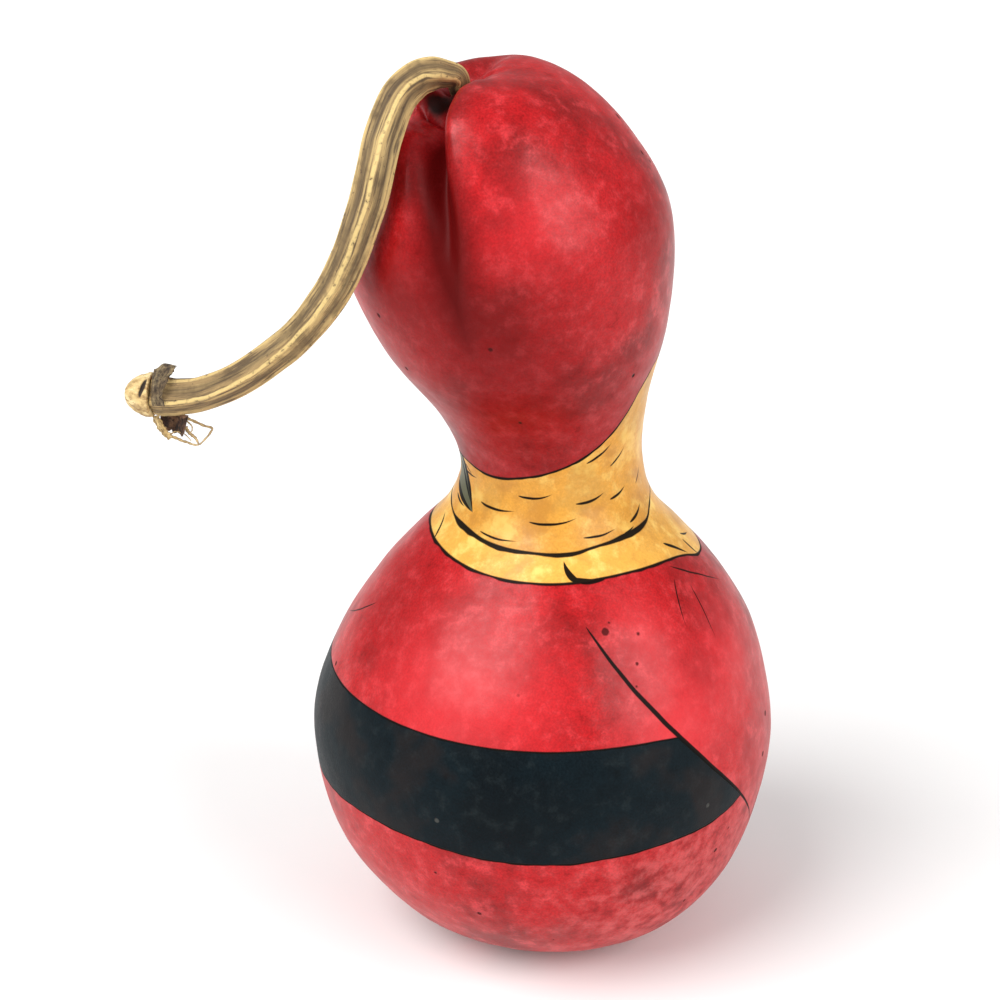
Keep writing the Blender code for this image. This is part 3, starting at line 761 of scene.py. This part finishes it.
stemShape = {
    "end": (-95.2, -17.0, 151.4),
    "knots": [  # x, y, z and radius in mm after the root's two points
        (-21.8, -9.2, 227.0, 2.8), (-24.5, -11.5, 228.1, 3.3), (-27.7, -14.2, 228.5, 3.9),
        (-31.2, -17.5, 227.5, 4.1), (-34.7, -22.9, 224.3, 4.2), (-37.7, -28.8, 217.4, 4.3),
        (-39.2, -32.0, 211.2, 4.3), (-40.9, -32.6, 204.2, 4.3), (-43.1, -31.8, 197.6, 4.2),
        (-46.4, -30.0, 188.5, 4.2), (-50.7, -28.0, 180.0, 4.2), (-58.0, -26.0, 170.2, 4.0),
        (-66.0, -24.0, 162.9, 4.0), (-74.3, -21.8, 157.0, 4.0), (-82.7, -19.6, 153.0, 4.1),
        (-89.4, -18.0, 151.5, 4.4), (-92.6, -17.4, 151.4, 4.7), (-95.2, -17.0, 151.4, 4.9)],
    "ribs": 5, "ribHeight": 0.15, "rows": 300, "columns": 72,
}

stemPaint = {
    "pale": (0.56, 0.385, 0.155), "middle": (0.33, 0.215, 0.088), "dark": (0.092, 0.058, 0.028),
    # the crest colour is partly pale rib crests and partly a painted highlight on the stem's front
    # side
    "paleCrestAndHighlight": (0.80, 0.58, 0.23), "scar": (0.80, 0.66, 0.40), "dusk": (0.055, 0.030, 0.018),
}


def stemLine():  # middle line in mm with the radius as a fourth column
    s = gourdShape
    root = s["socketFloor"] + 0.8
    start = [tuple(onSpine(np.array([0.0, 0.0, h]))) + (2.6,) for h in (root, root + 3.6)]
    return smoothPoints(start + stemShape["knots"], 16)


def frameAlong(line):  # at each point: the direction, the side that faces the front, and up
    along = np.gradient(line[:, :3], axis=0)
    along /= np.linalg.norm(along, axis=1, keepdims=True)
    front = np.array([0.0, -1.0, 0.0]) - along * along[:, 1:2] * -1.0
    front /= np.linalg.norm(front, axis=1, keepdims=True)
    return along, front, np.cross(front, along)


def tubeGrid(line, radii, columns):
    _, front, up = frameAlong(line)
    turn = np.linspace(-math.pi, math.pi, columns, endpoint=False)
    out = (front[:, None] * np.cos(turn)[None, :, None]
           + up[:, None] * np.sin(turn)[None, :, None])
    radii = np.broadcast_to(radii if np.ndim(radii) == 2 else np.asarray(radii)[:, None],
                            out.shape[:2])
    return line[:, None, :3] + out * radii[..., None], turn


def makeStem(material):
    s = stemShape
    line = evenlyAlong(stemLine(), s["rows"])
    turn = np.linspace(-math.pi, math.pi, s["columns"], endpoint=False)[None]
    along = np.linspace(0.0, 1.0, s["rows"])[:, None]
    twist = 0.25 * np.sin(3.0 * along) - 0.12
    rib = (0.5 + 0.5 * np.cos(s["ribs"] * (turn + twist))) ** 1.6
    fine = 0.5 + 0.5 * np.cos(17.0 * turn + 5.0 * np.sin(4.0 * along))
    shape = 0.90 + s["ribHeight"] * rib + 0.035 * fine * (0.5 + 0.5 * along)
    places = np.stack([np.cos(turn) + 0 * along, np.sin(turn) + 0 * along,
                       0 * turn + 9.0 * along], -1)
    shape += 0.030 * rough(places, 0.45, 4.0) + 0.018 * rough(places * [1, 1, 0.4], 0.16, 5.0)
    radii = line[:, 3:] * shape
    radii[-6:] *= np.linspace(1.0, 0.9, 6)[:, None]
    grid, _ = tubeGrid(line, radii, s["columns"])
    u, v = np.linspace(0.0, 1.0, s["columns"] + 1), np.linspace(0.0, 1.0, s["rows"])
    maps = {"PieceMap": (u, v), "OFBake": (u, v)}
    stem = sheetMesh("driedStem", grid * mm, maps, material)
    place(stem, "stem", "stem_husk")
    return stem


def makeStemMaterial():
    p = stemPaint
    material, tree, shader = newMaterial("ribbedStemHusk")
    split = newNode(tree, "ShaderNodeSeparateXYZ", {
        0: newNode(tree, "ShaderNodeUVMap", uv_map="PieceMap").outputs[0]}).outputs
    around, along = split["X"], split["Y"]
    streaks = useGroup(tree, dryStreaks, {
        "Around": around, "Along": along, "Pale": (*p["pale"], 1.0),
        "Middle": (*p["middle"], 1.0), "Dark": (*p["dark"], 1.0), "Streaks": 2.8, "Length": 5.0})
    spot = newNode(tree, "ShaderNodeTexCoord").outputs["Object"]
    patch = clouds(tree, spot, 9 * mm, 4.0, 0.6)
    dust = clouds(tree, spot, 1.3 * mm, 3.0, 0.6)
    twist = calc(tree, "SINE", times(tree, along, 3.0))
    twist = calc(tree, "MULTIPLY_ADD", twist, 0.25, -0.12)
    turn = calc(tree, "MULTIPLY_ADD", calc(tree, "SUBTRACT", around, 0.5), 2.0 * math.pi, twist)
    wander = times(tree, calc(tree, "SUBTRACT", patch, 0.5), 0.35)
    turn = calc(tree, "ADD", turn, wander)
    rib = calc(tree, "MULTIPLY_ADD", calc(tree, "COSINE", times(tree, turn, 5.0)), 0.5, 0.5)
    tone = blend(tree, ramp(tree, rib, 0.55, 0.05, 0.0, 0.62), streaks["Color"], p["dark"])
    tone = blend(tree, ramp(tree, patch, 0.50, 0.66, 0.0, 0.60), tone, p["dark"])
    # pale rib crests, with a painted highlight that makes them palest on the side facing the front
    frontLitSide = calc(tree, "MULTIPLY_ADD", calc(tree, "COSINE", turn), 0.32, 0.68)
    crestAndHighlight = times(tree, ramp(tree, rib, 0.88, 0.985), ramp(tree, dust, 0.25, 0.5))
    crestAndHighlight = times(tree, crestAndHighlight, frontLitSide)
    tone = blend(tree, times(tree, crestAndHighlight, 0.85), tone, p["paleCrestAndHighlight"])
    cells = newNode(tree, "ShaderNodeTexVoronoi", {"Vector": spot, "Scale": 125.0}).outputs
    chance = newNode(tree, "ShaderNodeSeparateColor", {0: cells["Color"]}).outputs[0]
    scars = times(tree, ramp(tree, cells["Distance"], 0.20, 0.12),
                 calc(tree, "GREATER_THAN", chance, 0.80))
    tone = blend(tree, times(tree, scars, 0.85), tone, p["scar"])
    speck = times(tree, ramp(tree, dust, 0.36, 0.28), 0.6)
    tone = blend(tree, speck, tone, p["dusk"])
    # painted shade: the stem darkens where it sinks into the socket
    tone = blend(tree, ramp(tree, along, 0.075, 0.02, 0.0, 0.75), tone, p["dusk"])
    tree.links.new(tone, shader.inputs["Base Color"])
    tree.links.new(ramp(tree, patch, 0.3, 0.7, 0.62, 0.8), shader.inputs["Roughness"])
    relief = calc(tree, "MULTIPLY_ADD", streaks["Height"], 1.0, times(tree, dust, 0.35))
    bump = newNode(tree, "ShaderNodeBump", {"Height": relief, "Strength": 0.9,
                                            "Distance": 0.5 * mm}).outputs[0]
    tree.links.new(bump, shader.inputs["Normal"])
    return material


# dry scraps at the stem's end: knot, scale, bark, husk and fibres

scrapPaint = {  # pale, middle and dark tones, streaks around, streak length, roughness
    "vineKnot": ((0.84, 0.66, 0.34), (0.66, 0.47, 0.20), (0.30, 0.17, 0.06), 1.3, 2.0, 0.68),
    "paperyScale": ((0.26, 0.19, 0.095), (0.105, 0.069, 0.036), (0.022, 0.013, 0.008),
                    2.4, 4.0, 0.84),
    "tornBark": ((0.74, 0.55, 0.26), (0.48, 0.32, 0.12), (0.14, 0.08, 0.03), 0.9, 2.5, 0.78),
    "curledHusk": ((0.23, 0.12, 0.065), (0.055, 0.024, 0.015), (0.008, 0.005, 0.004),
                   1.4, 2.5, 0.86),
    "bareFibre": ((0.72, 0.53, 0.27), (0.46, 0.31, 0.13), (0.17, 0.10, 0.04), 0.8, 3.0, 0.75),
}


def makeScrapMaterial(name):
    pale, middle, dark, streak, length, gloss = scrapPaint[name]
    material, tree, shader = newMaterial(name)
    split = newNode(tree, "ShaderNodeSeparateXYZ", {
        0: newNode(tree, "ShaderNodeUVMap", uv_map="PieceMap").outputs[0]}).outputs
    streaks = useGroup(tree, dryStreaks, {
        "Around": split["X"], "Along": split["Y"], "Pale": (*pale, 1.0), "Middle": (*middle, 1.0),
        "Dark": (*dark, 1.0), "Streaks": streak, "Length": length})
    spot = newNode(tree, "ShaderNodeTexCoord").outputs["Object"]
    patch = clouds(tree, spot, 1.8 * mm, 4.0, 0.65)
    tone = blend(tree, ramp(tree, patch, 0.52, 0.34, 0.0, 0.6), streaks["Color"], dark)
    tree.links.new(tone, shader.inputs["Base Color"])
    dullness = ramp(tree, patch, 0.3, 0.7, gloss - 0.08, gloss + 0.08)
    tree.links.new(dullness, shader.inputs["Roughness"])
    relief = calc(tree, "MULTIPLY_ADD", patch, 0.8, streaks["Height"])
    bump = newNode(tree, "ShaderNodeBump", {"Height": relief, "Strength": 0.8,
                                            "Distance": 0.35 * mm}).outputs[0]
    tree.links.new(bump, shader.inputs["Normal"])
    return material, tree, shader, tone, split


vineKnotShape = {
    "baseRadius": 5.5, "length": 7.0, "gap": 0.3,
    "wrinkles": 9, "wrinkleDepth": 0.26,
    "slit": {"turn": -40.0, "spread": 25.0, "from": 0.7, "to": 2.2, "depth": 1.0},
}


def makeVineKnot():
    s = vineKnotShape
    line = stemLine()
    along = line[-1, :3] - line[-2, :3]
    along /= np.linalg.norm(along)
    r, length = s["baseRadius"], s["length"]
    side = evenlyAlong(smoothPoints([
        (0.02, 0.0), (2.5, 0.0), (r - 0.5, 0.0), (r, 0.3), (r, 1.0), (5.2, length - 4.8),
        (4.6, length - 3.2), (3.5, length - 1.6), (2.0, length - 0.4), (0.02, length)], 8), 72)
    middle = line[-1, :3] + along * (s["gap"] + side[:, 1:])
    front = np.array([0.0, -1.0, 0.0]) + along * along[1]
    front /= np.linalg.norm(front)
    up = np.cross(front, along)
    turn = np.linspace(-math.pi, math.pi, 96, endpoint=False)
    out = front * np.cos(turn)[:, None] + up * np.sin(turn)[:, None]
    shrink = np.clip(side[:, :1] / r, 0.0, 1.0) * ease(side[:, 1:] / 0.8)
    wave = np.cos(s["wrinkles"] * turn + 0.9 * np.sin(2.0 * turn))[None] * 0.5 + 0.5
    grid = middle[:, None] + out[None] * side[:, :1, None]
    wrinkled = (s["wrinkleDepth"] * wave ** 2 + 0.28 * rough(grid, 1.7, 6.0)
                + 0.12 * rough(grid, 0.7, 7.0) + 0.14)
    slit = s["slit"]
    aside = (np.degrees(turn)[None] - slit["turn"] - 9.0 * (side[:, 1:] - 1.2)) / slit["spread"]
    reach = 0.5 * (slit["to"] - slit["from"])
    onward = (side[:, 1:] - slit["from"] - reach) / reach
    gash = np.exp(-(aside ** 2 + (onward - 0.6 * aside) ** 2) ** 2)
    sunk = shrink * wrinkled + slit["depth"] * gash * shrink
    grid = grid - out[None] * sunk[..., None]
    material, tree, shader, tone, split = makeScrapMaterial("vineKnot")
    spot = newNode(tree, "ShaderNodeAttribute", attribute_name="gash").outputs["Fac"]
    tone = blend(tree, ramp(tree, spot, 0.25, 0.6), tone, (0.035, 0.02, 0.012))
    tree.links.new(tone, shader.inputs["Base Color"])
    u, v = np.linspace(0.0, 1.0, 97), np.linspace(0.0, 1.0, 72)
    knot = sheetMesh("vineKnot", grid * mm, {"PieceMap": (u, v), "OFBake": (u, v)}, material)
    layer = knot.data.attributes.new("gash", "FLOAT", "POINT")
    layer.data.foreach_set("value", gash.ravel())
    place(knot, "vine_node", "vine_wood")


def thicken(grid, thickness):  # a thin shell from a single sheet: its two faces as one closed loop
    down = np.gradient(grid, axis=0)
    over = np.gradient(grid, axis=1)
    normal = np.cross(down, over)
    normal /= np.maximum(np.linalg.norm(normal, axis=-1, keepdims=True), 1e-9)
    half = normal * 0.5 * thickness[..., None]
    return np.concatenate([grid + half, (grid - half)[:, ::-1]], axis=1)


def shellPiece(name, grid, thickness, material, node, slotName):
    loop = thicken(grid, thickness)
    u, v = np.linspace(0.0, 1.0, loop.shape[1] + 1), np.linspace(0.0, 1.0, loop.shape[0])
    piece = sheetMesh(name, loop * mm, {"PieceMap": (u, v), "OFBake": (u, v)}, material)
    place(piece, node, slotName)
    return piece


paperyScaleShape = {"length": 5.9, "first": -8.0, "last": 158.0, "peak": 0.60, "thickness": 0.4}


def makePaperyScale():
    s = paperyScaleShape
    line = stemLine()
    back = line[-24, :3] - line[-1, :3]
    back /= np.linalg.norm(back)
    t, e = np.linspace(0.0, 1.0, 72)[None], np.linspace(0.0, 1.0, 30)[:, None]
    angle = np.radians(s["first"] + (s["last"] - s["first"]) * t)
    flare = ease(1.0 - np.abs(t - s["peak"]) / 0.42)
    ragged = 0.16 * np.sin(23.0 * t + 1.0) + 0.12 * np.sin(41.0 * t)
    ragged = ragged + 0.10 * np.sin(67.0 * t + 2.0)
    along = 0.2 + e * s["length"] * (0.46 + 0.46 * flare + 0.30 * ragged)
    ripple = 0.22 * np.sin(19.0 * t + 3.0 * e) * e + 0.16 * np.sin(33.0 * t - 4.0 * e)
    out = 5.65 + (0.4 + 1.5 * ease(2.0 * e)) * flare + ripple + 0.15 * e * np.sin(9.0 * t)
    anchor = line[-1, :3] + along[..., None] * back
    grid = anchor + np.stack([0 * out, -out * np.cos(angle), out * np.sin(angle)], -1)
    thickness = s["thickness"] * (1.0 - 0.6 * e ** 3) + 0 * t
    material = makeScrapMaterial("paperyScale")[0]
    shellPiece("paperyScale", grid, thickness, material, "bract_flap", "bract_paper")


scraps = {  # paths in mm from the stem's end
    "barkStrip": [(0.1, -0.9, -5.0), (0.4, -1.1, -6.0), (0.9, -1.5, -7.0), (1.9, -1.9, -8.6),
                  (3.5, -2.1, -10.5)],
    "bentFibres": [  # radius and path of each strand
        (0.38, [(7.4, -1.2, -5.4), (9.4, -1.7, -6.1), (11.4, -2.0, -7.0), (13.9, -2.1, -7.9),
                (12.6, -2.0, -9.9), (10.7, -1.9, -12.0)]),
        (0.22, [(7.6, -1.6, -6.0), (8.8, -2.0, -7.2), (8.9, -2.1, -8.6), (7.9, -2.1, -9.1)])],
    "loopFibres": [
        (0.40, [(3.3, -1.9, -10.0), (4.3, -2.0, -10.1), (7.1, -2.2, -11.3), (9.6, -2.2, -12.1),
                (10.6, -2.1, -11.9)]),
        (0.50, [(7.3, -1.5, -7.6), (8.0, -1.8, -8.9), (9.6, -2.0, -10.4), (10.3, -2.1, -11.7)]),
        (0.20, [(3.6, -1.6, -9.6), (4.8, -1.9, -8.8), (6.6, -2.0, -9.0), (7.9, -2.0, -10.2),
                (8.6, -2.0, -11.2)])],
}


# a ribbon along a path: it tapers at both ends, curls across itself and has a torn edge
def ribbon(path, halfWidth, wide, tilt, curl, rows=40, columns=14):
    line = evenlyAlong(smoothPoints(path, 8), rows) + np.array(stemShape["end"])
    along, front, up = frameAlong(line)
    turn = math.radians(tilt)
    across = front * math.cos(turn) + up * math.sin(turn)
    lift = up * math.cos(turn) - front * math.sin(turn)
    e, t = np.linspace(0.0, 1.0, rows)[:, None], np.linspace(-1.0, 1.0, columns)[None]
    width = halfWidth * (wide + (1.0 - wide) * np.sin(math.pi * np.clip(0.12 + 0.85 * e, 0, 1)))
    width = width * (1.0 + 0.16 * np.sin(21.0 * e + 2.0 * t) + 0.10 * np.sin(47.0 * e))
    return (line[:, None] + across[:, None] * (t * width)[..., None]
            + lift[:, None] * (curl * halfWidth * (t * t - 0.4) * (0.4 + 0.6 * e))[..., None])


def makeFibres(name, paths, node, material):  # thick at the root and thin at the tip, as one piece
    strands = []
    for radius, path in paths:
        line = evenlyAlong(smoothPoints(path, 8), 44) + np.array(stemShape["end"])
        wobble = np.stack([rough(line / 1.6 + k * 9.0, 1.0, 8.0) for k in range(3)], -1)
        line = line + 0.16 * wobble * np.sin(np.linspace(0.0, math.pi, 44))[:, None]
        radii = radius * np.linspace(1.0, 0.55, 44) * (1.0 + 0.15 * np.sin(np.arange(44) * 0.9))
        grid, _ = tubeGrid(line, radii, 12)
        u, v = np.linspace(0.0, 1.0, 13), np.linspace(0.0, 1.0, 44)
        strands.append(sheetMesh(name, grid * mm, {"PieceMap": (u, v)}, material))
    shape = bmesh.new()
    for strand in strands:
        shape.from_mesh(strand.data)
    shape.to_mesh(strands[0].data)
    shape.free()
    for strand in strands[1:]:
        bpy.data.objects.remove(strand)
    strands[0].name = name
    place(strands[0], node, "fibre")


def makeScraps():
    bark = ribbon(scraps["barkStrip"], 1.15, 0.75, 62.0, 0.5)
    shellPiece("barkStrip", bark, np.full(bark.shape[:2], 0.34),
               makeScrapMaterial("tornBark")[0], "bark_strip", "torn_bark")
    # the husk is a torn cup: a dark back wall whose right side curls forward
    t, e = np.linspace(0.0, 1.0, 40)[None], np.linspace(0.0, 1.0, 26)[:, None]
    torn = 0.30 * np.sin(17.0 * t) + 0.22 * np.sin(31.0 * t + 1.0) + 0.15 * np.sin(53.0 * t)
    x = 0.9 + 7.3 * t + 0.5 * e * np.sin(3.0 * t) - 1.1 * e * t ** 2
    y = 1.4 - 3.3 * ease((t - 0.45) / 0.5) - 1.2 * e + 0.15 * np.sin(15.0 * t + 4.0 * e)
    z = -4.5 - e * (4.3 + 0.8 * np.sin(math.pi * t) + torn) + 0.1 * np.sin(9.0 * e + 11.0 * t)
    husk = np.stack([x, y, z], -1) + np.array(stemShape["end"])
    shellPiece("curledHusk", husk, np.full(husk.shape[:2], 0.36),
               makeScrapMaterial("curledHusk")[0], "husk_curl", "husk")
    fibre = makeScrapMaterial("bareFibre")[0]
    makeFibres("bentFibres", scraps["bentFibres"], "fibre_bent", fibre)
    makeFibres("loopFibres", scraps["loopFibres"], "fibre_loop", fibre)


# floor

def makeFloor():
    material, tree, shader = newMaterial("palePaper")
    spot = newNode(tree, "ShaderNodeTexCoord").outputs["Object"]
    tooth = clouds(tree, spot, 60 * mm, 3.0, 0.5)
    tone = blend(tree, ramp(tree, tooth, 0.3, 0.7), studio["floorTone"],
                 tuple(0.985 * v for v in studio["floorTone"]))
    tree.links.new(tone, shader.inputs["Base Color"])
    shader.inputs["Roughness"].default_value = 0.75
    shader.inputs["Specular IOR Level"].default_value = 0.2
    around = np.linspace(0.0, 2.0 * math.pi, 96, endpoint=False)
    reach = np.array([0.01, 1.0, 4.0, 14.0])
    grid = np.full((len(reach), len(around), 3), cadBox[0].z - 0.05 * mm)  # just under the foot
    grid[..., 0], grid[..., 1] = reach[:, None] * np.cos(around), reach[:, None] * np.sin(around)
    u, v = np.linspace(0.0, 1.0, 97), np.linspace(0.0, 1.0, 4)
    floor = sheetMesh("paleFloor", grid, {"PieceMap": (u, v)}, material, caps=(True, False))


setStudio()
makeFloor()
print("studio set")
gourd = makeGourd([makeSkinMaterial(zone) for zone in skinZones])
print("gourd made,", len(gourd.data.polygons), "faces")
stem = makeStem(makeStemMaterial())
print("stem made,", len(stem.data.polygons), "faces")
makeVineKnot()
makePaperyScale()
makeScraps()
print("stem's end made")
